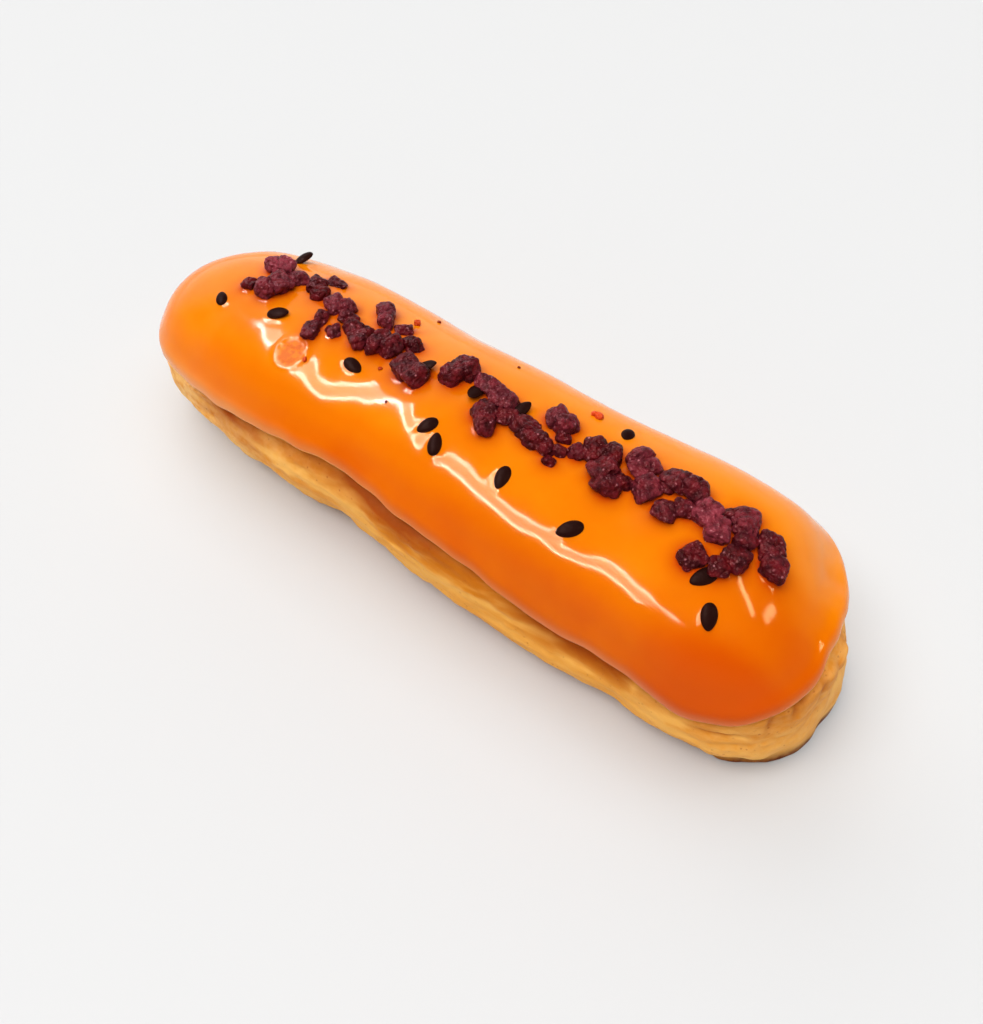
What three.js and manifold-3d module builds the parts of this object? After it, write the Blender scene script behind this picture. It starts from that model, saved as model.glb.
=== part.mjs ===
// An eclair: a choux case glazed over the top, with sugared crumbs and sesame seeds on the glaze.
// Millimetres. +X runs along the eclair to its blunter end, +Z is up, and z = 0 is its flat base.
import * as THREE from 'three';
import { mergeVertices } from 'three/addons/utils/BufferGeometryUtils.js';
import Module from 'manifold-3d';

const wasm = await Module();
wasm.setup();

// Plan: a straight spine with round ends, and the half width measured out from it.
const spineHalf = 45.7;
const spineMiddle = [1.7, -0.3];
const capRadius = 20;
const halfWidths = [
  22.2, 20.6, 17.8, 18.9, 19.2, 18.7, 19.6, 19.7, 18.9, 18.8, 19.2, 20.4,
  19.6, 18.0, 19.4, 19.9, 19.4, 18.7, 19.4, 19.3, 20.1, 20.4, 19.3, 19.8,
];

// Section: a flat base, a rounded keel up to the widest line, and a dome above it.
const crownHeights = [30, 29.7, 30.3, 31, 30.8, 31.2, 27.2];
const crownStep = 22.5;
const widestShare = 0.46;
const flatShare = 0.46;
const keelPower = 2.15;
const domePower = 2.2;

// Glaze: its lip's height at the same steps round the plan as the half widths.
const lipHeights = [
  15.6, 16.4, 17.3, 18.5, 19.9, 20.7, 19.9, 18.9, 16.0, 16.7, 15.2, 18.2,
  21.6, 20.4, 18.6, 17.4, 18.9, 17.0, 18.8, 19.7, 17.5, 18.4, 16.6, 15.9,
];
const glazeThick = 1.3;
const seamGap = 0.3;
const lipBead = 0.35;

// Choux: the hollow under the lip, the rib above the base, the blunt end drawn in, and its folds.
const hollowDepth = 0.9;
const ribBulge = 0.3;
const ribHeight = 6.5;
const endTuck = 1.1;
const foldDepth = 0.45;

// Crumbs: [along, across, length, width, height, turn in degrees], placed from the spine's middle.
const crumbs = [
  [-47.0, -2.3, 2.5, 2.0, 1.8, 60], [-46.0, 4.2, 4.6, 3.4, 3.2, 20], [-42.4, -0.6, 5.0, 4.2, 3.2, 72],
  [-41.2, 3.8, 3.2, 2.8, 2.2, 30], [-36.3, 3.6, 4.6, 2.6, 2.4, -33], [-35.8, 7.8, 2.6, 1.3, 1.4, 0],
  [-30.2, 2.4, 4.6, 3.2, 2.6, 20], [-30.5, -3.2, 5.0, 1.8, 1.8, -76], [-27.2, -2.6, 2.4, 1.5, 1.4, -30],
  [-27.6, 1.2, 2.5, 1.7, 1.6, 0], [-23.5, -1.6, 5.2, 3.2, 2.6, -26], [-24.0, 6.1, 5.0, 2.8, 2.8, 122],
  [-18.4, -0.3, 5.2, 4.2, 3.2, -2], [-18.9, 4.9, 3.0, 1.8, 1.8, 45], [-14.7, 2.6, 3.4, 2.6, 2.2, 0],
  [-10.9, -2.8, 5.8, 4.4, 3.2, -8], [-4.5, 1.4, 4.9, 3.8, 3.2, 61], [2.9, 1.4, 7.8, 3.0, 2.6, -16],
  [4.6, -3.2, 5.0, 3.4, 2.6, -41], [12.0, -2.3, 7.8, 2.7, 2.4, -11], [16.3, -4.3, 1.8, 1.5, 1.2, 0],
  [13.5, 2.1, 4.8, 3.3, 3.0, -23], [18.5, -0.5, 2.9, 2.4, 2.0, 0], [16.2, -1.7, 2.3, 2.0, 1.6, 0],
  [21.7, 1.8, 5.2, 4.0, 3.0, 13], [25.2, -2.5, 5.2, 4.0, 3.2, -37], [27.3, -1.7, 2.5, 2.2, 2.0, 0],
  [27.1, 3.3, 4.6, 4.2, 2.8, -41], [30.2, -0.3, 4.4, 3.5, 2.8, -41], [34.9, 3.2, 6.0, 3.4, 3.2, -13],
  [34.4, -2.2, 3.5, 3.2, 2.4, 0], [36.7, -0.6, 3.5, 3.0, 2.2, 0], [40.7, -0.5, 6.0, 3.6, 3.2, -37],
  [41.3, -6.3, 3.9, 3.2, 2.4, 58], [44.5, 1.9, 4.6, 3.4, 2.8, 103], [45.7, -0.8, 3.1, 2.6, 2.2, 0],
  [45.7, -4.7, 4.7, 3.0, 2.4, 56], [49.4, -0.5, 6.4, 3.4, 2.8, -42],
];
const crumbSink = 0.5;
const crumbFloor = 0.75;

// Seeds: [along, across, turn of the pointed end in degrees, lift of the pointed end in degrees].
const seeds = [
  [-45.6, 9.6, -112, -36], [-49.7, -6.2, 136, 0], [-38.0, -4.2, 25, 10], [-20.0, -6.0, -10, 0],
  [-8.4, -0.5, 20, 25], [0.4, -0.5, -73, 20], [-2.6, -8.6, -119, 0], [0.4, -10.2, 111, 0],
  [7.6, 1.7, 70, 22], [12.3, -9.6, -81, 0], [24.8, -10.8, -130, 0], [21.9, 7.8, -79, 0],
  [44.0, -7.6, -122, 0], [47.2, -11.4, -64, 0],
];
const seedLength = 3.7;
const seedWidth = 2.2;
const seedHeight = 0.95;

// Mesh: columns round the plan, and rings up the section.
const columns = 76;
const chouxRings = 9;
const domeRings = 9;

const cap = Math.PI * capRadius / 2;
const straight = 2 * spineHalf;
const perimeter = 4 * cap + 2 * straight;

function catmullRom(before, from, to, after, share) {
  const linear = to - before;
  const square = 2 * before - 5 * from + 4 * to - after;
  const cube = 3 * from - before - 3 * to + after;
  return from + 0.5 * share * (linear + share * (square + share * cube));
}

// Smooth closed curve through evenly spaced values, read at a turn from 0 to 1.
function closedCurve(values, turn) {
  const count = values.length;
  const place = (turn - Math.floor(turn)) * count;
  const at = (step) => values[(Math.floor(place) + step + count) % count];
  return catmullRom(at(-1), at(0), at(1), at(2), place - Math.floor(place));
}

// Smooth open curve through evenly spaced values, read at a place counted in steps.
function openCurve(values, place) {
  const last = values.length - 1;
  const clamped = Math.min(Math.max(place, 0), last - 1e-9);
  const at = (step) => values[Math.min(Math.max(Math.floor(clamped) + step, 0), last)];
  return catmullRom(at(-1), at(0), at(1), at(2), clamped - Math.floor(clamped));
}

// Point of the spine and outward direction in plan, for a turn from the far tip round the near side.
function spineAt(turn) {
  const run = (turn - Math.floor(turn)) * perimeter;
  if (run < cap) {
    return [-spineHalf, Math.PI + run / capRadius];
  }
  if (run < cap + straight) {
    return [run - cap - spineHalf, -Math.PI / 2];
  }
  if (run < 3 * cap + straight) {
    return [spineHalf, (run - cap - straight) / capRadius - Math.PI / 2];
  }
  if (run < 3 * cap + 2 * straight) {
    return [spineHalf - (run - 3 * cap - straight), Math.PI / 2];
  }
  return [-spineHalf, (run - 3 * cap - 2 * straight) / capRadius + Math.PI / 2];
}

// The turn that a place on the plan belongs to, and its distance from the spine.
function turnOf(along, across) {
  const past = Math.max(Math.abs(along) - spineHalf, 0);
  if (past > 0) {
    const centre = Math.sign(along) * spineHalf;
    const angle = Math.atan2(across, along - centre);
    const fromFar = (angle - Math.PI + 4 * Math.PI) % (2 * Math.PI);
    const run = along < 0 ? fromFar * capRadius : (angle + Math.PI / 2) * capRadius + cap + straight;
    const farBack = along < 0 && fromFar > Math.PI;
    return [(farBack ? run - 4 * cap + perimeter : run) / perimeter, Math.hypot(along - centre, across)];
  }
  const run = across < 0 ? cap + along + spineHalf : 3 * cap + straight + spineHalf - along;
  return [run / perimeter, Math.abs(across)];
}

const crownAt = (along) => openCurve(crownHeights, along / crownStep + (crownHeights.length - 1) / 2);

// Section at an angle from -90 at the base to 90 at the crown: reach from the spine and level, as shares.
function section(angle) {
  const power = angle < 0 ? keelPower : domePower;
  const out = Math.abs(Math.cos(angle)) ** (2 / power);
  const up = Math.abs(Math.sin(angle)) ** (2 / power);
  if (angle < 0) {
    return [flatShare + (1 - flatShare) * out, widestShare * (1 - up)];
  }
  return [out, widestShare + (1 - widestShare) * up];
}

// Point of the outer form at a turn and a section angle, moved out by a distance square to the surface.
function formPoint(turn, angle, offset) {
  const [spineX, bearing] = spineAt(turn);
  const half = closedCurve(halfWidths, turn);
  const [reach, level] = section(angle);
  const power = angle < 0 ? keelPower : domePower;
  const crown = crownAt(spineX + half * reach * Math.cos(bearing));
  const tall = angle < 0 ? widestShare * crown : (1 - widestShare) * crown;
  const wide = angle < 0 ? (1 - flatShare) * half : half;
  const slopeOut = Math.abs(Math.cos(angle)) ** (2 - 2 / power) / wide;
  const slopeUp = Math.sign(angle) * Math.abs(Math.sin(angle)) ** (2 - 2 / power) / tall;
  const slope = Math.hypot(slopeOut, slopeUp);
  const radius = Math.max(half * reach + offset * slopeOut / slope, 0);
  const height = crown * level + offset * slopeUp / slope;
  const along = spineX + radius * Math.cos(bearing);
  const across = radius * Math.sin(bearing);
  return [along, across, height];
}

// Section angle at which the dome reaches the lip's height.
function lipAngle(turn) {
  const [spineX, bearing] = spineAt(turn);
  const crown = crownAt(spineX + closedCurve(halfWidths, turn) * Math.cos(bearing));
  const level = closedCurve(lipHeights, turn) / crown;
  return Math.asin(((level - widestShare) / (1 - widestShare)) ** (domePower / 2));
}

const bell = (distance, width) => Math.exp(-((distance / width) ** 2));

function smoothStep(value, from, to) {
  const share = Math.min(Math.max((value - from) / (to - from), 0), 1);
  return share * share * (3 - 2 * share);
}

// Slow swells of the poured glaze.
function swell(along, across) {
  const lumps = Math.sin(along / 6.5 + 1.3) * Math.sin(across / 5 + 0.4);
  const waves = Math.sin(along / 3.9 + across / 4.6 + 2);
  return 0.18 * lumps + 0.08 * waves + 0.12 * Math.sin(along / 11 - 0.7);
}

// How far the bare choux stands out of the form: back under the lip, a hollow, then the rib and folds.
function chouxRelief(turn, height, below) {
  const fromNearTip = (turn - 0.5) * perimeter;
  const fromFarTip = (turn - Math.round(turn)) * perimeter;
  const nearEnd = bell(fromNearTip, 26);
  const farEnd = bell(fromFarTip, 22);
  const hollowRun = 5.5 + 1.8 * Math.sin(turn * 38 + 0.6) - 2.5 * nearEnd - 2 * farEnd;
  const back = (glazeThick + seamGap) * (1 - smoothStep(below, 0.9, hollowRun));
  const hollow = hollowDepth * (0.65 + 0.35 * Math.sin(turn * 51 + 2.2)) * (1 - nearEnd);
  const rib = ribBulge * bell(height - ribHeight, 3.2) * (0.8 + 0.2 * Math.sin(turn * 63));
  const tuck = endTuck * bell(fromNearTip, 16) * bell(height - 13, 6);
  const folds = foldDepth * (nearEnd + 0.5 * farEnd) * Math.sin(fromNearTip / 1.15 + height / 4);
  const clearOfBase = smoothStep(height, 0, 3);
  return (rib - tuck + folds * smoothStep(below, 1, 4)) * clearOfBase - back - hollow * bell(below - 3, 2.4);
}

// Closed shell from rows of points round the plan, each row the next ring of the section.
function shell(rows) {
  const corners = [];
  const count = rows[0].length;
  for (let row = 0; row + 1 < rows.length; row += 1) {
    for (let column = 0; column < count; column += 1) {
      const next = (column + 1) % count;
      const [a, b] = [rows[row][column], rows[row][next]];
      const [c, d] = [rows[row + 1][next], rows[row + 1][column]];
      corners.push(a, b, c, a, c, d);
    }
  }
  return weld(corners);
}

// Shared vertices merged, and triangles that a merge has closed up dropped.
function weld(corners) {
  const loose = new THREE.BufferGeometry();
  loose.setAttribute('position', new THREE.Float32BufferAttribute(corners.flat(), 3));
  const merged = mergeVertices(loose, 1e-4);
  const index = merged.index.array;
  const kept = [];
  for (let i = 0; i < index.length; i += 3) {
    const [a, b, c] = [index[i], index[i + 1], index[i + 2]];
    if (a !== b && b !== c && c !== a) {
      kept.push(a, b, c);
    }
  }
  merged.setIndex(kept);
  return merged;
}

function solidOf(geometry) {
  const vertProperties = new Float32Array(geometry.attributes.position.array);
  const triVerts = new Uint32Array(geometry.index.array);
  return new wasm.Manifold(new wasm.Mesh({ numProp: 3, vertProperties, triVerts }));
}

function geometryOf(solid) {
  const mesh = solid.getMesh();
  const geometry = new THREE.BufferGeometry();
  geometry.setAttribute('position', new THREE.BufferAttribute(new Float32Array(mesh.vertProperties), 3));
  geometry.setIndex(new THREE.BufferAttribute(new Uint32Array(mesh.triVerts), 1));
  return geometry;
}

// The largest of a mesh's separate skins, which fills the small hollows that joined lumps close in.
function largestSkin(geometry) {
  const index = Array.from(geometry.index.array);
  const owner = Array.from({ length: geometry.attributes.position.count }, (_, vertex) => vertex);
  const rootOf = (vertex) => {
    let root = vertex;
    while (owner[root] !== root) {
      owner[root] = owner[owner[root]];
      root = owner[root];
    }
    return root;
  };
  const sizes = new Map();
  index.forEach((vertex, corner) => {
    owner[rootOf(vertex)] = rootOf(index[corner - corner % 3]);
  });
  index.forEach((vertex) => sizes.set(rootOf(vertex), (sizes.get(rootOf(vertex)) ?? 0) + 1));
  const largest = [...sizes].reduce((best, entry) => (entry[1] > best[1] ? entry : best))[0];
  geometry.setIndex(index.filter((vertex) => rootOf(vertex) === largest));
  return geometry;
}

// One ring of the plan: a point for every column, from a rule for the turn.
function ring(rule) {
  return Array.from({ length: columns }, (_, column) => rule(column / columns));
}

const spinePoint = (turn, height) => [spineAt(turn)[0], 0, height];
const domeAngle = (turn, share) => lipAngle(turn) + (Math.PI / 2 - lipAngle(turn)) * share;

function chouxGeometry() {
  const rows = [ring((turn) => spinePoint(turn, 0))];
  for (let step = 0; step < chouxRings; step += 1) {
    const share = (step / chouxRings) ** 1.1;
    rows.push(ring((turn) => {
      const angle = -Math.PI / 2 + (lipAngle(turn) + Math.PI / 2) * share;
      const height = formPoint(turn, angle, 0)[2];
      const below = closedCurve(lipHeights, turn) - height;
      return formPoint(turn, angle, step === 0 ? 0 : chouxRelief(turn, height, below));
    }));
  }
  for (let step = 0; step < domeRings; step += 1) {
    const share = (step / domeRings) ** 0.9;
    rows.push(ring((turn) => formPoint(turn, domeAngle(turn, share), -glazeThick - seamGap)));
  }
  rows.push(ring((turn) => spinePoint(turn, crownAt(spineAt(turn)[0]) - glazeThick - seamGap)));
  return shell(rows);
}

// Height of the glaze's outside over the form at a section share up from the lip.
function glazeOffset(turn, share) {
  const [along, across] = formPoint(turn, domeAngle(turn, share), 0);
  return swell(along, across) * smoothStep(share, 0, 0.35) + lipBead * bell(share - 0.06, 0.07);
}

function glazeShell() {
  const top = (turn, offset) => spinePoint(turn, crownAt(spineAt(turn)[0]) + offset);
  const rows = [ring((turn) => top(turn, -glazeThick))];
  for (let step = domeRings - 1; step >= 0; step -= 1) {
    const share = (step / domeRings) ** 0.9;
    rows.push(ring((turn) => formPoint(turn, domeAngle(turn, share), -glazeThick)));
  }
  rows.push(ring((turn) => {
    const point = formPoint(turn, lipAngle(turn), -0.45 * glazeThick);
    return [point[0], point[1], point[2] - 0.4 * glazeThick];
  }));
  for (let step = 0; step < domeRings; step += 1) {
    const share = (step / domeRings) ** 0.9;
    rows.push(ring((turn) => formPoint(turn, domeAngle(turn, share), glazeOffset(turn, share))));
  }
  rows.push(ring((turn) => top(turn, swell(spineAt(turn)[0], 0))));
  return shell(rows);
}

// Height of the glaze over a place on the plan.
function glazeHeight(along, across) {
  const [turn, distance] = turnOf(along, across);
  const reach = Math.min(distance / closedCurve(halfWidths, turn), 0.999);
  const level = widestShare + (1 - widestShare) * (1 - reach ** domePower) ** (1 / domePower);
  return crownAt(along) * level + swell(along, across);
}

// Frame that stands on the glaze: its place, and a forward direction at a turn in degrees.
function glazeFrame(along, across, turnDegrees) {
  const step = 0.2;
  const slopeX = (glazeHeight(along + step, across) - glazeHeight(along - step, across)) / (2 * step);
  const slopeY = (glazeHeight(along, across + step) - glazeHeight(along, across - step)) / (2 * step);
  const up = new THREE.Vector3(-slopeX, -slopeY, 1).normalize();
  const turn = THREE.MathUtils.degToRad(turnDegrees);
  const forward = new THREE.Vector3(Math.cos(turn), Math.sin(turn), 0);
  forward.addScaledVector(up, -forward.dot(up)).normalize();
  const side = new THREE.Vector3().crossVectors(up, forward);
  const frame = new THREE.Matrix4().makeBasis(forward, side, up);
  return frame.setPosition(along, across, glazeHeight(along, across));
}

// Repeatable number from 0 to 1 for two whole numbers.
function chance(first, second) {
  const mixed = Math.sin(first * 127.1 + second * 311.7) * 43758.5453;
  return mixed - Math.floor(mixed);
}

// Radius of a rough lump in a direction: a rounded block with a few broad dents.
function lumpRadius(direction, seed) {
  const [x, y, z] = direction;
  const block = (Math.abs(x) ** 3 + Math.abs(y) ** 3 + Math.abs(z) ** 3) ** (-1 / 3);
  let dents = 1;
  for (let wave = 0; wave < 4; wave += 1) {
    const pick = (slot) => chance(seed, 10 * wave + slot);
    const lean = (2 * pick(0) - 1) * x + (2 * pick(1) - 1) * y + (2 * pick(2) - 1) * z;
    dents += 0.09 * Math.sin((3 + wave) * lean + 6.3 * pick(3));
  }
  return 0.92 * block * dents;
}

// The lumps that one crumb is made of: its place forward and aside, and its size.
function lumpsOf([, , length, width, height], number) {
  const count = 1 + (length > 4.5) + (length > 7);
  return Array.from({ length: count }, (_, lump) => {
    const seed = 7 * number + lump + 1;
    const spread = count > 1 ? lump / (count - 1) - 0.5 : 0;
    return {
      seed,
      forward: spread * length * 0.5,
      aside: (chance(seed, 50) - 0.5) * width * 0.3 * (count > 1),
      length: length * (count > 1 ? 0.86 - 0.1 * count : 1.1),
      width: width * (0.95 + 0.3 * chance(seed, 51)),
      height: height * (0.9 + 0.3 * chance(seed, 52)),
    };
  });
}

function lumpGeometry(lump, frame) {
  const ball = new THREE.BoxGeometry(2, 2, 2, 2, 2, 2);
  ball.deleteAttribute('normal');
  ball.deleteAttribute('uv');
  const geometry = mergeVertices(ball, 1e-4);
  const place = geometry.attributes.position;
  const point = new THREE.Vector3();
  for (let i = 0; i < place.count; i += 1) {
    point.fromBufferAttribute(place, i).normalize();
    point.multiplyScalar(lumpRadius(point.toArray(), lump.seed) / 2);
    point.multiply(new THREE.Vector3(lump.length, lump.width, lump.height));
    point.z = Math.max(point.z + lump.height / 2 - crumbSink, -crumbFloor);
    point.x += lump.forward;
    point.y += lump.aside;
    point.applyMatrix4(frame);
    place.setXYZ(i, point.x, point.y, point.z);
  }
  return geometry;
}

// A sesame seed: a drop pointed at one end, flatter below than above, sunk a little into the glaze.
function seedGeometry([along, across, turn, lift]) {
  const sides = 6;
  const frame = glazeFrame(along, across, turn);
  const tilt = THREE.MathUtils.degToRad(lift);
  frame.multiply(new THREE.Matrix4().makeRotationY(-tilt));
  const rows = [0, 0.25, 0.55, 0.82, 1].map((share) => {
    const girth = Math.max(Math.sin(Math.PI * share ** 0.69), 0) ** 0.65;
    return Array.from({ length: sides }, (_, side) => {
      const angle = -2 * Math.PI * side / sides;
      const rise = Math.sin(angle) * seedHeight * (Math.sin(angle) > 0 ? 0.6 : 0.4);
      const raised = seedHeight * 0.15 + seedLength * 0.4 * Math.sin(Math.abs(tilt));
      const point = new THREE.Vector3(
        seedLength * (0.5 - share), girth * Math.cos(angle) * seedWidth / 2, girth * rise + raised);
      return point.applyMatrix4(frame).toArray();
    });
  });
  return shell(rows);
}

function glazeGeometry() {
  const pieces = [solidOf(glazeShell())];
  crumbs.forEach((crumb, number) => {
    const frame = glazeFrame(crumb[0], crumb[1], crumb[5]);
    for (const lump of lumpsOf(crumb, number)) {
      pieces.push(solidOf(lumpGeometry(lump, frame)));
    }
  });
  for (const seed of seeds) {
    pieces.push(solidOf(seedGeometry(seed)));
  }
  return largestSkin(geometryOf(pieces.reduce((whole, piece) => whole.add(piece))));
}

function addPiece(group, name, geometry, look) {
  geometry.computeVertexNormals();
  const mesh = new THREE.Mesh(geometry, new THREE.MeshStandardMaterial(look));
  mesh.name = name;
  mesh.position.set(spineMiddle[0], spineMiddle[1], 0);
  group.add(mesh);
}

const group = new THREE.Group();
addPiece(group, 'choux', chouxGeometry(), { color: 0xd9a45c, roughness: 0.75, metalness: 0 });
addPiece(group, 'glaze', glazeGeometry(), { color: 0xf27a0a, roughness: 0.12, metalness: 0 });

export default group;
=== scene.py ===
import math

import bpy
import numpy as np
from mathutils import Matrix, Vector


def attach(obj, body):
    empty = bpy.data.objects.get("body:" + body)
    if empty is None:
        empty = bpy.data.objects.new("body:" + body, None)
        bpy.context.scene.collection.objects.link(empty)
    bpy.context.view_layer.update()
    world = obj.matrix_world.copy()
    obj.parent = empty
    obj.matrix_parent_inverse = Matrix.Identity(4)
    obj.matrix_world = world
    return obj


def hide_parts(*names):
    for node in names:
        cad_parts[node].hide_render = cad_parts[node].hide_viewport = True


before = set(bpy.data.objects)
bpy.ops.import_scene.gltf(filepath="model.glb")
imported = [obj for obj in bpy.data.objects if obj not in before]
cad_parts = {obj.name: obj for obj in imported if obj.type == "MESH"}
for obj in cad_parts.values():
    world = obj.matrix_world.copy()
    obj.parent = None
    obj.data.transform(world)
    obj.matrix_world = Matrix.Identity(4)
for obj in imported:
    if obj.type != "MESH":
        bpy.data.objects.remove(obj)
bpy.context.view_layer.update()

# An eclair with an orange glaze, a row of sugared crumbs and scattered sesame seeds.
# Shapes are worked out in millimetres from the middle of the eclair's spine,
# and put into metres at the end.
metres = 0.001

form = {
    "middle": (1.7, -0.3),  # where the spine's middle lies
    "spineHalf": 45.7,  # half the spine's length, and the radius of the plan's round ends
    "capRadius": 20.0,
    # half widths at 24 equal steps round the plan, from the far tip along the near side
    "halfWidths": (
        22.2, 20.6, 17.8, 18.9, 19.2, 18.7, 19.6, 19.7, 18.9, 18.8, 19.2, 20.4,
        19.6, 18.0, 19.4, 19.9, 19.4, 18.7, 19.4, 19.3, 20.1, 20.4, 19.3, 19.8,
    ),
    "crownHeights": (30, 29.7, 30.3, 31, 30.8, 31.2, 27.2),  # along the spine, a step apart
    "crownStep": 22.5,
    "widestShare": 0.46,  # share of the height at which the body is widest
    "flatShare": 0.46,  # share of the half width that the base is flat
    "keelPower": 2.15,  # powers of the superellipses below and above the widest line
    "domePower": 2.2,
}
# lengths round the plan: a quarter of an end's circle, a straight side, and the whole
form["cap"] = math.pi * form["capRadius"] / 2
form["straight"] = 2 * form["spineHalf"]
form["perimeter"] = 4 * form["cap"] + 2 * form["straight"]


# Catmull-Rom: the cubic through the two middle values, with slopes from their neighbours.
def catmullRom(before, start, end, after, share):
    linear = end - before
    square = 2 * before - 5 * start + 4 * end - after
    cube = 3 * start - before - 3 * end + after
    return start + 0.5 * share * (linear + share * (square + share * cube))


def closedCurve(values, turn):
    values = np.asarray(values, float)
    place = np.mod(turn, 1.0) * len(values)
    step = np.floor(place).astype(int)
    at = lambda ahead: values[(step + ahead) % len(values)]
    return catmullRom(at(-1), at(0), at(1), at(2), place - step)


def openCurve(values, place):
    values = np.asarray(values, float)
    place = np.clip(place, 0, len(values) - 1 - 1e-9)
    step = np.floor(place).astype(int)
    at = lambda ahead: values[np.clip(step + ahead, 0, len(values) - 1)]
    return catmullRom(at(-1), at(0), at(1), at(2), place - step)


def bell(distance, width):
    return np.exp(-((distance / width) ** 2))


def smoothStep(value, start, end):
    share = np.clip((value - start) / (end - start), 0, 1)
    return share * share * (3 - 2 * share)


# A repeatable random number, -1 to 1, for each whole-number cell.
def cellValue(cell, seed):
    key = cell @ np.array([73856093, 19349663, 83492791]) + seed * 2654435
    key = (key ^ (key >> 13)) * 1274126177 & 0x7FFFFFFF
    return ((key ^ (key >> 16)) & 0xFFFF) / 32767.5 - 1


# Random numbers at whole-number corners, blended smoothly between the eight corners round a point.
def cornerNoise(points, seed):
    cell = np.floor(points).astype(np.int64)
    part = points - cell
    part = part * part * (3 - 2 * part)
    total = 0
    for corner in range(8):
        step = np.array([corner & 1, corner >> 1 & 1, corner >> 2 & 1])
        weight = np.prod(np.where(step == 1, part, 1 - part), axis=-1)
        total = total + weight * cellValue(cell + step, seed)
    return total


# Rounded grains: one centre in each cell, and a height sqrt(1 - d^2) at a distance d
# from the nearest centre.
def grains(points, size, seed):
    place = points / size
    cell = np.floor(place).astype(np.int64)
    nearest = np.full(place.shape[:-1], 9.0)
    for corner in range(27):
        beside = cell + np.array([corner % 3, corner // 3 % 3, corner // 9]) - 1
        jitter = np.stack([cellValue(beside, seed + axis) for axis in range(3)], -1)
        nearest = np.minimum(nearest, np.linalg.norm(beside + 0.5 + 0.4 * jitter - place, axis=-1))
    return np.sqrt(np.maximum(1 - nearest**2, 0))


# A few octaves of corner noise, each half as large and half as strong.
def roughness(points, size, octaves, seed):
    return sum(cornerNoise(points * 2**k / size, seed + k) / 2**k for k in range(octaves))


# Spine point and outward bearing for a turn from 0 to 1: a straight run down each side,
# and a half circle round each end.
def spineAt(turn):
    cap, straight, radius, half = form["cap"], form["straight"], form["capRadius"], form["spineHalf"]
    run = np.mod(turn, 1.0) * form["perimeter"]
    parts = [run < cap, run < cap + straight, run < 3 * cap + straight, run < 3 * cap + 2 * straight]
    along = [-half + 0 * run, run - cap - half, half + 0 * run, half - (run - 3 * cap - straight)]
    bearing = [
        math.pi + run / radius,
        -math.pi / 2 + 0 * run,
        (run - cap - straight) / radius - math.pi / 2,
        math.pi / 2 + 0 * run,
    ]
    lastBearing = (run - 3 * cap - 2 * straight) / radius + math.pi / 2
    return np.select(parts, along, -half), np.select(parts, bearing, lastBearing)


# The turn that a place on the plan belongs to, and its distance from the spine.
def turnOf(along, across):
    cap, straight, radius, half = form["cap"], form["straight"], form["capRadius"], form["spineHalf"]
    centre = np.clip(along, -half, half)
    distance = np.hypot(along - centre, across)
    side = np.where(across < 0, cap + along + half, 3 * cap + straight + half - along)
    angle = np.arctan2(across, along - centre)
    near = (angle + math.pi / 2) * radius + cap + straight
    far = np.where(angle > 0, form["perimeter"] - (math.pi - angle) * radius, (angle + math.pi) * radius)
    run = np.where(along > half, near, np.where(along < -half, far, side))
    return run / form["perimeter"], distance


def crownAt(along):
    return openCurve(form["crownHeights"], along / form["crownStep"] + (len(form["crownHeights"]) - 1) / 2)


# The plain form at a turn and a section angle (-90 at the base, 90 at the crown): a superellipse
# keel below the widest line and a superellipse dome above it. Gives the point, its outward normal
# and its downhill direction.
def formAt(turn, angle):
    below = angle < 0
    power = np.where(below, form["keelPower"], form["domePower"])
    half = closedCurve(form["halfWidths"], turn)
    out = np.abs(np.cos(angle)) ** (2 / power)
    up = np.abs(np.sin(angle)) ** (2 / power)
    reach = np.where(below, form["flatShare"] + (1 - form["flatShare"]) * out, out)
    level = form["widestShare"] + np.where(below, -form["widestShare"] * up, (1 - form["widestShare"]) * up)
    spineX, bearing = spineAt(turn)
    crown = crownAt(spineX + half * reach * np.cos(bearing))
    tall = crown * np.where(below, form["widestShare"], 1 - form["widestShare"])
    wide = half * np.where(below, 1 - form["flatShare"], 1)
    slopeOut = np.abs(np.cos(angle)) ** (2 - 2 / power) / wide
    slopeUp = np.sign(angle) * np.abs(np.sin(angle)) ** (2 - 2 / power) / tall
    slope = np.hypot(slopeOut, slopeUp)
    slopeOut, slopeUp = slopeOut / slope, slopeUp / slope
    facing = np.stack([np.cos(bearing) + 0 * angle, np.sin(bearing) + 0 * angle], -1)
    point = np.concatenate([facing * (half * reach)[..., None], (crown * level)[..., None]], -1)
    point[..., 0] += spineX
    normal = np.concatenate([facing * slopeOut[..., None], slopeUp[..., None]], -1)
    downhill = np.concatenate([facing * slopeUp[..., None], -slopeOut[..., None]], -1)
    return point, normal, downhill


# A closed shell from rows of points: each row runs once round, and each next row lies further up.
# Points that fall together at a pole or a seam are joined, and faces that this closes up are dropped.
def shellFrom(rows, fields):
    count, columns = rows.shape[:2]
    index = np.arange(count * columns).reshape(count, columns)
    beside = np.roll(index, -1, axis=1)
    a, b, c, d = index[:-1], beside[:-1], beside[1:], index[1:]
    faces = np.concatenate([np.stack([a, b, c], -1).reshape(-1, 3), np.stack([a, c, d], -1).reshape(-1, 3)])
    points = rows.reshape(-1, 3)
    _, first, owner = np.unique(np.round(points, 4), axis=0, return_index=True, return_inverse=True)
    faces = owner.ravel()[faces]
    whole = (faces[:, 0] != faces[:, 1]) & (faces[:, 1] != faces[:, 2]) & (faces[:, 2] != faces[:, 0])
    return points[first], faces[whole], {name: field.reshape(-1)[first] for name, field in fields.items()}


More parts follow.
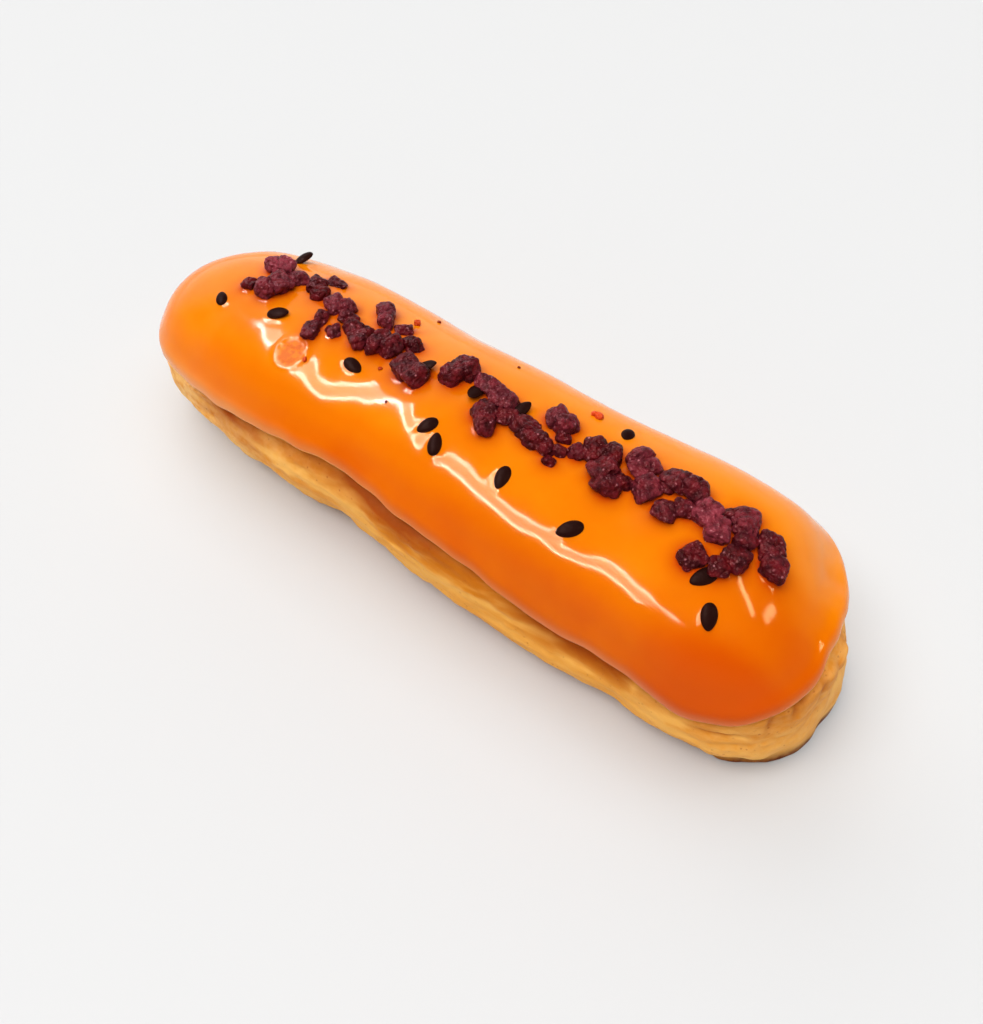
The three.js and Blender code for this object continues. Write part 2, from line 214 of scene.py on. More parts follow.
# Several shells put together as one mesh.
def joinShells(shells):
    offsets = np.cumsum([0] + [len(points) for points, _, _ in shells])
    points = np.concatenate([points for points, _, _ in shells])
    faces = np.concatenate([faces + offset for (_, faces, _), offset in zip(shells, offsets)])
    fields = {name: np.concatenate([shell[2][name] for shell in shells]) for name in shells[0][2]}
    return points, faces, fields


# Puts a shell into a Blender object, moved from the spine's middle to its place in the frame, in metres.
def pieceFrom(name, shell, material):
    points, faces, fields = shell
    place = (points + np.array([*form["middle"], 0.0])) * metres
    mesh = bpy.data.meshes.new(name)
    mesh.vertices.add(len(place))
    mesh.vertices.foreach_set("co", place.astype(np.float32).ravel())
    mesh.loops.add(faces.size)
    mesh.loops.foreach_set("vertex_index", faces.astype(np.int32).ravel())
    mesh.polygons.add(len(faces))
    mesh.polygons.foreach_set("loop_start", np.arange(0, faces.size, 3, dtype=np.int32))
    mesh.polygons.foreach_set("use_smooth", np.ones(len(faces), bool))
    for field, values in fields.items():
        layer = mesh.attributes.new(field, "FLOAT", "POINT")
        layer.data.foreach_set("value", np.asarray(values, np.float32))
    mesh.update(calc_edges=True)
    mesh.materials.append(material)
    piece = bpy.data.objects.new(name, mesh)
    bpy.context.scene.collection.objects.link(piece)
    print(f"{name}: {len(faces)} triangles")
    return piece


# A wire is an output socket that can be used in Python sums: each operator adds a Math node.
class Wire:
    def __init__(self, tree, socket=None):
        self.tree = tree
        self.socket = socket

    # Adds a node: its settings first, then the values or wires of its sockets.
    def node(self, kind, settings=None, sockets=None, output=0):
        made = self.tree.nodes.new(kind)
        for name, value in (settings or {}).items():
            setattr(made, name, value)
        for name, value in (sockets or {}).items():
            if isinstance(value, Wire):
                self.tree.links.new(value.socket, made.inputs[name])
            else:
                made.inputs[name].default_value = value
        return Wire(self.tree, made.outputs[output]) if made.outputs else made

    def maths(self, operation, *values):
        return self.node("ShaderNodeMath", {"operation": operation}, dict(enumerate(values)))

    def __add__(self, other):
        return self.maths("ADD", self, other)

    def __sub__(self, other):
        return self.maths("SUBTRACT", self, other)

    def __rsub__(self, other):
        return self.maths("SUBTRACT", other, self)

    def __mul__(self, other):
        return self.maths("MULTIPLY", self, other)

    __radd__ = __add__
    __rmul__ = __mul__

    def clipped(self):
        return self.node("ShaderNodeClamp", {}, {"Value": self})

    # 0 below the first value and 1 above the second, with a smooth step between them
    def between(self, low, high):
        sockets = {"Value": self, "From Min": low, "From Max": high}
        return self.node("ShaderNodeMapRange", {"interpolation_type": "SMOOTHSTEP"}, sockets)

    def mix(self, factor, first, second):
        return self.node("ShaderNodeMix", {"data_type": "RGBA"}, {0: factor, 6: first, 7: second}, 2)

    def field(self, name):
        return self.node("ShaderNodeAttribute", {"attribute_name": name}, {}, "Fac")

    # Object coordinates in steps of a size in millimetres
    def steps(self, size, stretch):
        where = self.node("ShaderNodeTexCoord", output="Object")
        scale = [part / (size * metres) for part in stretch]
        return self.node("ShaderNodeMapping", {}, {"Vector": where, "Scale": scale})

    def noise(self, size, detail, stretch=(1, 1, 1)):
        sockets = {"Vector": self.steps(size, stretch), "Scale": 1.0, "Detail": detail}
        return self.node("ShaderNodeTexNoise", {}, sockets, "Fac")

    def cells(self, size):
        sockets = {"Vector": self.steps(size, (1, 1, 1)), "Scale": 1.0}
        return self.node("ShaderNodeTexVoronoi", {}, sockets, "Distance")


# A colour as a screen shows it, 0 to 255, in the linear values that a shader takes.
def screenColour(red, green, blue):
    part = np.array([red, green, blue]) / 255
    linear = np.where(part <= 0.04045, part / 12.92, ((part + 0.055) / 1.055) ** 2.4)
    return (*linear.tolist(), 1.0)


# A Principled material: fixed values on its sockets, and a rule that gives the wires of what varies,
# with the bump as a height and its depth in millimetres.
def finishOf(name, fixed, rule):
    material = bpy.data.materials.new(name)
    material.use_nodes = True
    tree = material.node_tree
    tree.nodes.clear()
    wires = rule(Wire(tree))
    height, depth = wires.pop("bump")
    sockets = {"Height": height, "Strength": 1.0, "Distance": depth * metres}
    bump = Wire(tree).node("ShaderNodeBump", {}, sockets)
    shader = Wire(tree).node("ShaderNodeBsdfPrincipled", {}, {**fixed, **wires, "Normal": bump})
    Wire(tree).node("ShaderNodeOutputMaterial", {}, {"Surface": shader})
    return material


# The glaze.
glaze = {
    "columns": 800,
    "domeRows": 104,
    "lipRows": 6,
    "underRows": 6,
    "thick": 1.3,
    "seam": 0.3,  # gap to the choux
    "lipBead": 0.35,  # height of the bead above the lip
    # the lip's height at the same steps round the plan as the half widths
    "lipHeights": (
        15.6, 16.4, 17.3, 18.5, 19.9, 20.7, 19.9, 18.9, 16.0, 16.7, 15.2, 19.2,
        22.4, 20.6, 18.6, 17.4, 18.9, 17.0, 18.8, 19.7, 17.5, 18.4, 16.6, 15.9,
    ),
    "lipWobble": 0.11,
    # soft humps and dips left by the pour: along, across, reach along, reach across, height
    "humps": (
        (-50, -5, 9, 10, -0.9), (-18.5, -9, 8.5, 9, -1.0), (-6, -7, 4.5, 6, 0.4),
        (28.5, -6.5, 5.5, 6.5, -1.0), (-46, 14, 9, 6, -0.8), (-13, 16, 8, 5, -0.4),
        (62, 6, 8, 12, -0.5), (58, 13, 8, 8, -0.9),
    ),
    # slow waves of the pour: the height, then reach and phase along, and across
    "crossWave": (0.18, 6.5, 1.3, 5.0, 0.4),
    # height, reach along, reach across and phase
    "slantWave": (0.08, 3.9, 4.6, 2.0),
    # height, reach along and phase
    "longWave": (0.12, 11.0, -0.7),
    "ripple": 0.035,  # heights of the fine ripples, and of the rim of glaze drawn up round a topping
    "meniscus": 0.16,
    # a burst bubble that has dried: along, across, radius, and the heights of its rim and its wrinkles
    "bubble": (-31.0, -8.8, 2.8, 0.16, 0.12),
    "roughness": 0.085,
    # painted light and shade: pale on top and at the back where more light falls, deeper down the front and
    # round the near end where less light falls
    "paleColour": screenColour(226, 130, 8),
    "midColour": screenColour(210, 102, 1),
    "deepShadeColour": screenColour(193, 72, 1),
    "shadeColour": screenColour(176, 46, 3),
    # pale above the lip where the glaze is thin, with a painted reflection of the floor along the back rim
    # and far end
    "lipPaleAndSheenColour": screenColour(226, 152, 84),
}


# The lip's height at a turn, with a small wobble of two waves.
def lipHeight(turn):
    run = turn * 2 * math.pi
    wobble = np.sin(31 * run + 0.8) + 0.8 * np.sin(47 * run + 2.1)
    return closedCurve(glaze["lipHeights"], turn) + glaze["lipWobble"] * wobble


# Section angle at which the dome reaches the lip.
def lipAngle(turn):
    spineX, bearing = spineAt(turn)
    crown = crownAt(spineX + closedCurve(form["halfWidths"], turn) * np.cos(bearing))
    level = lipHeight(turn) / crown
    share = np.clip((level - form["widestShare"]) / (1 - form["widestShare"]), 0, 1)
    return np.arcsin(share ** (form["domePower"] / 2))


# Slow swells of the poured glaze: products of sines, and the named humps as bells.
def swell(along, across):
    tall, reachX, phaseX, reachY, phaseY = glaze["crossWave"]
    height = tall * np.sin(along / reachX + phaseX) * np.sin(across / reachY + phaseY)
    tall, reachX, reachY, phase = glaze["slantWave"]
    height = height + tall * np.sin(along / reachX + across / reachY + phase)
    tall, reachX, phase = glaze["longWave"]
    height = height + tall * np.sin(along / reachX + phase)
    for x, y, reachX, reachY, tall in glaze["humps"]:
        height = height + tall * bell(along - x, reachX) * bell(across - y, reachY)
    return height


# Fine ripples all over, and the dried bubble: a bell-shaped rim round a patch of wrinkles.
def fineRelief(points):
    x, y, radius, rim, wrinkle = glaze["bubble"]
    distance = np.hypot(points[..., 0] - x, points[..., 1] - y)
    inside = 1 - smoothStep(distance, radius - 0.7, radius)
    folds = 1 - 2 * np.abs(cornerNoise(points * np.array([0.9, 0.9, 0]), 41))
    ripples = roughness(points * np.array([1, 1, 0]), 5.0, 2, 7)
    return glaze["ripple"] * ripples + rim * bell(distance - radius, 0.4) + wrinkle * inside * folds


# Height of the glaze over a place on the plan.
def glazeHeight(along, across):
    turn, distance = turnOf(along, across)
    reach = np.minimum(distance / closedCurve(form["halfWidths"], turn), 0.999)
    power = form["domePower"]
    level = form["widestShare"] + (1 - form["widestShare"]) * (1 - reach**power) ** (1 / power)
    return crownAt(along) * level + swell(along, across)


# A matrix whose rows are forward, aside, up and place, standing on the glaze at a bearing in degrees,
# with its front end lifted by some degrees.
def glazeFrame(along, across, bearing, lift=0.0):
    step = 0.2  # to each side, for the slope
    slopeX = (glazeHeight(along + step, across) - glazeHeight(along - step, across)) / (2 * step)
    slopeY = (glazeHeight(along, across + step) - glazeHeight(along, across - step)) / (2 * step)
    up = np.array([-slopeX, -slopeY, 1.0])
    up /= np.linalg.norm(up)
    forward = np.array([math.cos(math.radians(bearing)), math.sin(math.radians(bearing)), 0.0])
    forward -= up * (forward @ up)
    forward /= np.linalg.norm(forward)
    aside = np.cross(up, forward)
    tilt = math.radians(lift)
    lifted = forward * math.cos(tilt) + up * math.sin(tilt)
    up = up * math.cos(tilt) - forward * math.sin(tilt)
    return np.stack([lifted, aside, up, [along, across, glazeHeight(along, across)]])


# What lies on the glaze.
crumbs = {
    # along, across, length, width, height, bearing in degrees
    "places": (
        (-47.5, -1.8, 2.5, 2.0, 1.8, 60), (-46.0, 4.2, 4.6, 3.4, 3.2, 20), (-43.2, -0.3, 5.0, 4.2, 3.2, 72),
        (-41.2, 3.8, 3.2, 2.8, 2.2, 30), (-36.4, 3.2, 4.6, 2.6, 2.4, -33), (-36.1, 7.4, 3.4, 1.8, 1.6, 0),
        (-30.1, 2.1, 4.6, 3.2, 2.6, 20), (-30.7, -2.8, 5.6, 2.2, 2.0, -76),
        (-27.4, -2.2, 2.8, 2.1, 1.6, -30), (-27.6, 1.2, 3.4, 2.4, 2.0, 0),
        (-23.8, -0.8, 5.2, 3.2, 2.6, -26), (-23.5, 5.3, 5.0, 2.8, 2.8, 122),
        (-18.4, -0.3, 5.2, 4.2, 3.2, -2), (-18.9, 4.9, 3.0, 1.8, 1.8, 45), (-15.1, 2.6, 3.4, 2.6, 2.2, 0),
        (-10.9, -2.3, 5.8, 4.4, 3.2, -8), (-4.5, 1.4, 5.2, 4.2, 3.2, 61), (2.7, 0.9, 7.8, 3.0, 2.6, -16),
        (4.4, -3.4, 5.0, 3.4, 2.6, -41), (12.0, -2.1, 7.8, 2.7, 2.4, -11), (16.3, -4.3, 1.8, 1.5, 1.2, 0),
        (13.5, 2.4, 4.8, 3.3, 3.0, -23), (18.7, -0.8, 2.9, 2.4, 2.0, 0), (16.4, -2.0, 2.3, 2.0, 1.6, 0),
        (21.8, 1.6, 4.9, 3.7, 2.9, 13), (24.9, -2.1, 5.2, 4.0, 3.2, -37), (27.0, -1.3, 2.5, 2.2, 2.0, 0),
        (27.5, 3.4, 4.6, 4.2, 2.8, -41), (30.3, -0.2, 4.4, 3.5, 2.8, -41), (34.9, 2.7, 6.0, 3.4, 3.2, -13),
        (34.4, -2.2, 3.5, 3.2, 2.4, 0), (36.7, -0.6, 3.5, 3.0, 2.2, 0), (40.7, -0.5, 6.0, 3.6, 3.2, -37),
        (41.3, -6.3, 3.9, 3.2, 2.4, 58), (44.1, 2.3, 4.6, 3.4, 2.8, 103), (45.7, -0.8, 3.1, 2.6, 2.2, 0),
        (45.4, -4.5, 4.7, 3.0, 2.4, 56), (49.3, -0.2, 6.4, 3.4, 2.8, -42), (6.5, -1.3, 3.4, 2.8, 2.0, 20),
        (15.4, 0.5, 2.3, 2.2, 1.7, 40), (32.5, 2.1, 3.2, 2.8, 2.0, 10), (-23.2, 0.6, 2.6, 2.2, 1.7, 0),
        (42.5, 2.5, 2.8, 2.4, 1.9, 30),
    ),
    # how pale a crumb is, by its number in the list above
    "pale": {
        1: 0.9, 2: 0.5, 3: 0.5, 6: 0.45, 11: 0.5, 17: 0.35, 21: 0.4, 27: 0.5, 28: 0.4, 32: 0.8, 34: 0.4,
    },
    # flakes too small to be crumbs: along, across, size, and how red and clear
    "flakes": (
        (16.5, 8.3, 1.5, 1.0), (15.6, 8.4, 1.1, 1.0), (-19.1, 8.3, 1.3, 0.8), (-17.9, 12.3, 0.6, 0.3),
        (-11.2, -8.2, 0.5, 0.2), (0.2, 10.1, 0.5, 0.2), (-16.3, -3.8, 0.7, 0.6), (-27.9, -8.7, 0.9, 0.9),
    ),
    "rows": 28,
    "columns": 52,
    "severalFrom": (4.5, 7),  # a crumb longer than these has two lumps, or three
    "lumpSpread": 0.46,  # share of its length that they lie apart
    "fullSize": 2.6,  # a lump smaller than this on average has smaller crystals and fewer faces
    "sink": 0.6,
    "faces": 7,  # random flat faces, beside the six of the block
    "sharpness": 7,
    "crystal": (0.95, 0.75),  # size and height of the coarse crystals that stand out of a crumb
    "grit": (0.5, 0.34),  # and of the fine ones
    "darkColour": screenColour(38, 1, 4),
    "redColour": screenColour(86, 6, 10),
    # frost on the paler crumbs, and a painted sheen on the crystal tops
    "paleColour": screenColour(138, 52, 64),
    "clearColour": screenColour(206, 70, 24),
    "glintColour": screenColour(206, 128, 134),
    "roughness": 0.3,
}

seeds = {
    # along, across, bearing of the pointed end, lift of the pointed end, share of the full length
    "places": (
        (-45.6, 9.6, -112, -36, 1.0), (-49.7, -6.2, 136, 0, 0.8), (-38.0, -4.2, 25, 10, 1.1),
        (-20.4, -5.6, -10, 0, 1.0), (-9.5, -0.1, 20, 25, 1.1), (0.0, -0.5, -73, 20, 1.15),
        (-2.6, -8.6, -119, 0, 0.95), (0.2, -10.3, 111, 0, 1.0), (7.6, 1.2, 70, 22, 0.95),
        (12.2, -9.7, -81, 0, 1.0), (24.8, -10.8, -130, 0, 1.1), (21.9, 7.8, -79, 0, 0.8),
        (44.0, -7.6, -122, 0, 1.1), (47.3, -11.3, -64, 0, 1.02),
    ),
    "rows": 36,
    "columns": 28,
    "length": 3.7,
    "width": 2.25,
    "height": 0.95,
    "colour": screenColour(30, 10, 8),
    "edgeColour": screenColour(52, 24, 16),
    "roughness": 0.4,
}


# Repeatable number from 0 to 1 for two whole numbers.
def chance(first, second):
    mixed = math.sin(first * 127.1 + second * 311.7) * 43758.5453
    return mixed - math.floor(mixed)


# Size and place of each lump that a crumb is made of: forward, aside, length, width and height.
def lumpsOf(number):
    _, _, length, width, height, _ = crumbs["places"][number]
    count = 1 + sum(length > limit for limit in crumbs["severalFrom"])
    for lump in range(count):
        seed = 7 * number + lump + 1
        spread = lump / (count - 1) - 0.5 if count > 1 else 0
        yield {
            "seed": seed,
            "forward": spread * length * crumbs["lumpSpread"],
            "aside": (chance(seed, 50) - 0.5) * width * 0.3 * (count > 1),
            "length": length * (0.92 - 0.1 * count if count > 1 else 1.1),
            "width": width * (0.95 + 0.3 * chance(seed, 51)),
            "height": height * (0.86 + 0.24 * chance(seed, 52)),
        }


# Radius of a chip in a direction d: flat faces n at heights h with worn edges between them,
# r = (sum of (max(d.n, 0) / h)^p)^(-1/p), from the six faces of a block and a few random ones.
def chipRadius(direction, seed):
    random = np.random.default_rng(seed)
    extra = random.normal(size=(crumbs["faces"], 3))
    extra /= np.linalg.norm(extra, axis=1, keepdims=True)
    block, _ = np.linalg.qr(np.eye(3) + 0.35 * random.normal(size=(3, 3)))
    faces = np.concatenate([block, -block, extra])
    heights = np.concatenate([random.uniform(0.8, 1.02, 6), random.uniform(0.84, 1.12, len(extra))])
    power = crumbs["sharpness"]
    return ((np.maximum(direction @ faces.T, 0) / heights) ** power).sum(-1) ** (-1 / power)


# Directions over a ball: rows from the bottom pole to the top, columns round it.
def ballDirections(rows, columns):
    polar = np.linspace(-math.pi / 2, math.pi / 2, rows)[:, None]
    azimuth = np.arange(columns) * 2 * math.pi / columns
    flat = np.cos(polar)
    return np.stack([flat * np.cos(azimuth), flat * np.sin(azimuth), np.sin(polar) + 0 * azimuth], -1)


# One lump: the chip, with coarse and fine crystals standing out of it.
def lumpShell(lump, stand, tone, clear=0.0):
    size = np.array([lump["length"], lump["width"], lump["height"]])
    share = min(1.0, size.mean() / crumbs["fullSize"])
    direction = ballDirections(round(crumbs["rows"] * share**0.6), round(crumbs["columns"] * share**0.6))
    body = direction * chipRadius(direction, lump["seed"])[..., None] * size / 2
    apart = body + 17.3 * lump["seed"]
    crystal = grains(apart, crumbs["crystal"][0], 3)
    grit = grains(apart, crumbs["grit"][0], 5)
    stands = crumbs["crystal"][1] * (crystal - 0.75) + crumbs["grit"][1] * (grit - 0.75)
    body = body + direction * (share * stands)[..., None]
    body[..., 2] = np.maximum(body[..., 2] + lump["height"] / 2 - crumbs["sink"] * share, -0.7)
    body[..., :2] += np.array([lump["forward"], lump["aside"]])
    high = smoothStep(crystal, 0.7, 1.0) * 0.6 + smoothStep(grit, 0.7, 1.0) * 0.4
    fields = {"tone": tone + 0 * high, "high": high, "clear": clear + 0 * high}
    return shellFrom(body @ stand[:3] + stand[3], fields)


def crumbShells():
    shells = []
    for number, (along, across, _, _, _, bearing) in enumerate(crumbs["places"]):
        stand = glazeFrame(along, across, bearing)
        tone = crumbs["pale"].get(number, 0.25 * chance(number, 77))
        shells += [lumpShell(lump, stand, tone) for lump in lumpsOf(number)]
    for number, (along, across, size, clear) in enumerate(crumbs["flakes"]):
        stand = glazeFrame(along, across, 70 * number)
        flake = {"seed": 900 + number, "forward": 0, "aside": 0}
        flake.update(length=size, width=0.8 * size, height=0.7 * size)
        shells.append(lumpShell(flake, stand, 0.0, clear))
    return joinShells(shells)


# One seed: a drop with its blunt end behind, of girth sin(pi share^0.85)^0.52, and an oval section
# that is flatter below.
def seedShell(along, across, bearing, lift, scale):
    stand = glazeFrame(along, across, bearing, lift)
    share = (0.5 - 0.5 * np.cos(np.linspace(0, math.pi, seeds["rows"])))[:, None]
    girth = np.maximum(np.sin(math.pi * share**0.85), 0) ** 0.52
    around = np.arange(seeds["columns"]) * 2 * math.pi / seeds["columns"]
    rise = np.sin(around) * seeds["height"] * np.where(np.sin(around) > 0, 0.6, 0.4)
    raised = seeds["height"] * 0.15 + seeds["length"] * 0.4 * math.sin(math.radians(abs(lift)))
    forward = seeds["length"] * scale * (share - 0.5) + 0 * around
    aside = girth * np.cos(around) * seeds["width"] * scale**0.5 / 2
    body = np.stack([forward, aside, girth * rise + raised], -1)
    body[..., 2] += 0.04 * roughness(body + 9 * along, 0.9, 2, 5) * girth
    rim = np.abs(np.cos(around)) ** 8 + 0 * share
    return shellFrom(body @ stand[:3] + stand[3], {"rim": rim})


# How near a glaze point is to what lies on it: the meniscus's height and the share of contact shade.
def nearToppings(points):
    rise = np.zeros(points.shape[:-1])
    shade = np.zeros(points.shape[:-1])
    for number, (along, across, _, _, _, bearing) in enumerate(crumbs["places"]):
        stand = glazeFrame(along, across, bearing)
        local = (points - stand[3]) @ stand[:2].T
        for lump in lumpsOf(number):
            half = np.array([lump["length"], lump["width"]]) / 2
            offset = (local - np.array([lump["forward"], lump["aside"]])) / half
            distance = (np.linalg.norm(offset, axis=-1) - 1) * (lump["length"] + lump["width"]) / 4
            rise = np.maximum(rise, np.exp(-np.maximum(distance, 0) / 0.45))
            shade = np.maximum(shade, np.exp(-np.maximum(distance, 0) / 1.1))
    for along, across, bearing, _, scale in seeds["places"]:
        stand = glazeFrame(along, across, bearing)
        local = (points - stand[3]) @ stand[:2].T
        offset = local / (np.array([seeds["length"], seeds["width"]]) * scale) * 2
        distance = (np.linalg.norm(offset, axis=-1) - 0.9) * seeds["width"] / 2
        rise = np.maximum(rise, 0.9 * np.exp(-np.maximum(distance, 0) / 0.4))
    return rise, shade


# The glaze's outside at a turn and at a share of the way from the lip up to the crest: the form, lifted by
# the swell, a bead along the lip, the fine relief and the menisci. Also gives the shade of what lies near.
def glazeOutside(turn, edge, share):
    point, normal, _ = formAt(turn, edge + (math.pi / 2 - edge) * share)
    lift = swell(point[..., 0], point[..., 1]) * smoothStep(share, 0, 0.35)
    lift = lift + glaze["lipBead"] * bell(share - 0.07, 0.07) + fineRelief(point)
    outside = point + normal * lift[..., None]
    rise, shade = nearToppings(outside)
    return outside + normal * (glaze["meniscus"] * rise)[..., None], shade


# The glaze: its underside from the crest down to the lip, half a round over the lip, and its outside.
def glazeShell():
    turn = np.arange(glaze["columns"]) / glaze["columns"]
    edge = lipAngle(turn)
    thick = glaze["thick"]
    up = np.linspace(1, 0, glaze["underRows"], endpoint=False)[:, None]
    point, normal, _ = formAt(turn, edge + (math.pi / 2 - edge) * up)
    under = point - normal * thick
    over = np.linspace(math.pi, 0, glaze["lipRows"], endpoint=False)[:, None, None]
    point, normal, downhill = formAt(turn, edge)
    lip = point + normal * thick / 2 * (np.cos(over) - 1) + downhill * thick / 2 * np.sin(over)
    share = np.linspace(0, 1, glaze["domeRows"])[:, None]
    outside, shade = glazeOutside(turn, edge, share)
    along, across = outside[..., 0], outside[..., 1]
    # painted light and shade: how deep the orange is, deeper where less light falls; and how pale it turns
    # above the lip, where the glaze is thin, with a painted reflection along the back rim and far end
    frontShade = smoothStep(-across, 10, 17) * smoothStep(along, -66, -18)
    nearEnd = smoothStep(along, 36, 60) * smoothStep(-across, -3, 8)
    depth = np.clip(0.28 - 0.018 * np.maximum(across, 0) + 0.48 * frontShade + 0.55 * nearEnd, 0, 1)
    x, y, radius = glaze["bubble"][:3]
    bubble = 1 - smoothStep(np.hypot(along - x, across - y), radius - 0.9, radius - 0.3)
    hidden = np.zeros((len(under) + len(lip), len(turn)))
    # the pale band above the lip: thin glaze, widened and strengthened along the far end and back rim as a
    # painted reflection
    farEnd = smoothStep(-along, 10, 50)
    back = smoothStep(across, 8, 16) * smoothStep(50 - along, 0, 30)
    edges = bell(share + 0 * turn, 0.04 + 0.06 * farEnd + 0.1 * back) * (0.25 + 0.45 * farEnd + 0.3 * back)
    ends = np.concatenate([np.zeros(under.shape[:2]), np.full(lip.shape[:2], 0.5), edges])
    return shellFrom(np.concatenate([under, lip, outside]), {
        "depth": np.concatenate([hidden, depth]),
        "shade": np.concatenate([hidden, shade]),
        "bubble": np.concatenate([hidden, bubble]),
        "lip": ends,
    })


def glazeWires(wire):
    # painted light and shade: pale where more light falls, deeper orange where less falls
    depth = (wire.field("depth") + 0.3 * wire.noise(9, 3) - 0.15).clipped()
    colour = wire.mix(depth.between(0.0, 0.5), glaze["paleColour"], glaze["midColour"])
    colour = wire.mix(depth.between(0.5, 1.0), colour, glaze["deepShadeColour"])
    colour = wire.mix((wire.field("shade") * 0.85).clipped(), colour, glaze["shadeColour"])
    wrinkles = wire.field("bubble") * wire.noise(1.1, 2).between(0.4, 0.6)
    colour = wire.mix(wrinkles * 0.45, colour, glaze["shadeColour"])
    # thin pale lip, and a painted reflection along the back rim and far end
    colour = wire.mix(wire.field("lip").clipped(), colour, glaze["lipPaleAndSheenColour"])
    dull = glaze["roughness"] + 0.5 * wire.field("bubble")
    return {"Base Color": colour, "Roughness": dull, "bump": (wire.noise(2.4, 1), 0.006)}


def crumbWires(wire):
    high = wire.field("high")
    patch = wire.noise(1.6, 3)
    colour = wire.mix(patch.between(0.35, 0.7), crumbs["darkColour"], crumbs["redColour"])
    # frost on the paler crumbs, and a painted sheen where the crystal tops catch the light
    frostAndSheen = (wire.field("tone") * (0.2 + 0.9 * patch) * (0.45 + 0.9 * high) + 0.25 * high * patch).clipped()
    colour = wire.mix(frostAndSheen, colour, crumbs["paleColour"])
    glint = wire.cells(0.9).between(0.26, 0.1) * wire.noise(1.2, 2).between(0.45, 0.6) * high
    colour = wire.mix((glint * 0.8).clipped(), colour, crumbs["glintColour"])
    colour = wire.mix(wire.field("clear"), colour, crumbs["clearColour"])
    return {"Base Color": colour, "bump": (wire.cells(0.7) + 0.4 * wire.cells(0.36), 0.3)}


def seedWires(wire):
    colour = wire.mix(wire.field("rim") * 0.5, seeds["colour"], seeds["edgeColour"])
    return {"Base Color": colour, "bump": (wire.noise(0.35, 2), 0.03)}


# The choux.
choux = {
    "columns": 800,
    "sideRows": 92,
    "topRows": 8,
    "nearReach": 26,  # how far round from its tip each end's forms reach
    "farReach": 22,
    "farSide": (16, 18),  # middle and reach of the stretch past the far tip where the hollow is small
    "hollowRun": 5.5,  # how far down from the lip the hollow runs
    "shortestRun": 1.9,
    "hollowDepth": 0.9,
    "hollowBelow": 3,  # how far below the lip the hollow is deepest
    "ribBulge": 0.2,
    "ribHeight": 6.5,
    "ribReach": 3.2,
    "endTuck": 1.5,
    "foldDepth": 0.17,
    # how far the keel stands out or back at the same steps round the plan as the half widths
    "keelShifts": (
        0, 0.3, -0.8, -0.7, -0.6, -0.7, 0.1, 0.6, 1.3, 0.4, 0.5, 0.8,
        0.3, 0.2, 0, 0, 0, 0, 0, 0, 0, 0, 0, 0,
    ),
    # how far the foot of the squared near end reaches from the spine, at equal steps of turn
    "footReach": (15.5, 16.4, 17.6, 18.6, 18.45, 19.4, 19.9, 19.4, 18.2),
    "footStart": 0.42,
    "footStep": 0.02,
    # creases and scoops: turn, height, half length round the side, half height, fall along it, depth
    "creases": (
        (0.103, 17.6, 6.0, 0.9, -0.25, 0.5), (0.138, 17.8, 3.0, 1.4, 0.0, 0.35),
        (0.175, 18.6, 4.0, 1.3, 0.1, 0.35), (0.231, 18.6, 8.5, 1.6, 0.0, 0.55),
        (0.302, 17.2, 7.0, 1.4, -0.16, 0.6), (0.350, 15.0, 5.5, 1.7, 0.12, 1.2),
        (0.394, 15.0, 3.4, 1.4, 0.0, 1.1), (0.385, 14.0, 0.7, 2.6, 0.0, -0.5),
        (0.423, 14.8, 3.4, 0.8, 0.0, 0.7), (0.433, 12.0, 3.2, 0.35, 0.1, 0.6),
        (0.469, 19.0, 1.0, 1.2, 0.0, 0.9), (0.465, 17.4, 0.5, 2.6, 0.0, 0.4),
        (0.453, 15.2, 0.5, 2.4, 0.0, 0.4), (0.484, 16.0, 0.8, 3.4, 0.0, 0.4),
        (0.5, 14.5, 0.8, 4.0, 0.0, 0.35), (0.516, 16.0, 0.8, 3.0, 0.0, 0.3),
    ),
    # the skin: strength and size of its swells, its level streaks and its fine grain
    "swells": (0.28, 5.5),
    "streaks": (0.17, 1.0),
    "grain": (0.05, 0.9),
    "skinBelow": 0.41,  # how far the skin lies inside the form on average
    "paleReach": 30,  # how far round the two paler ends reach
    "farPale": 0.06,  # the turn at the middle of the far one
    "lightColour": screenColour(232, 168, 78),
    "midColour": screenColour(212, 128, 24),
    # browned crust, and painted shade in the hollow under the lip and in the creases
    "brownAndShadeColour": screenColour(156, 66, 2),
    "endColour": screenColour(236, 184, 112),
    # browned base, and painted contact shade where the choux meets the floor
    "footBrownAndShadeColour": screenColour(104, 46, 10),
}


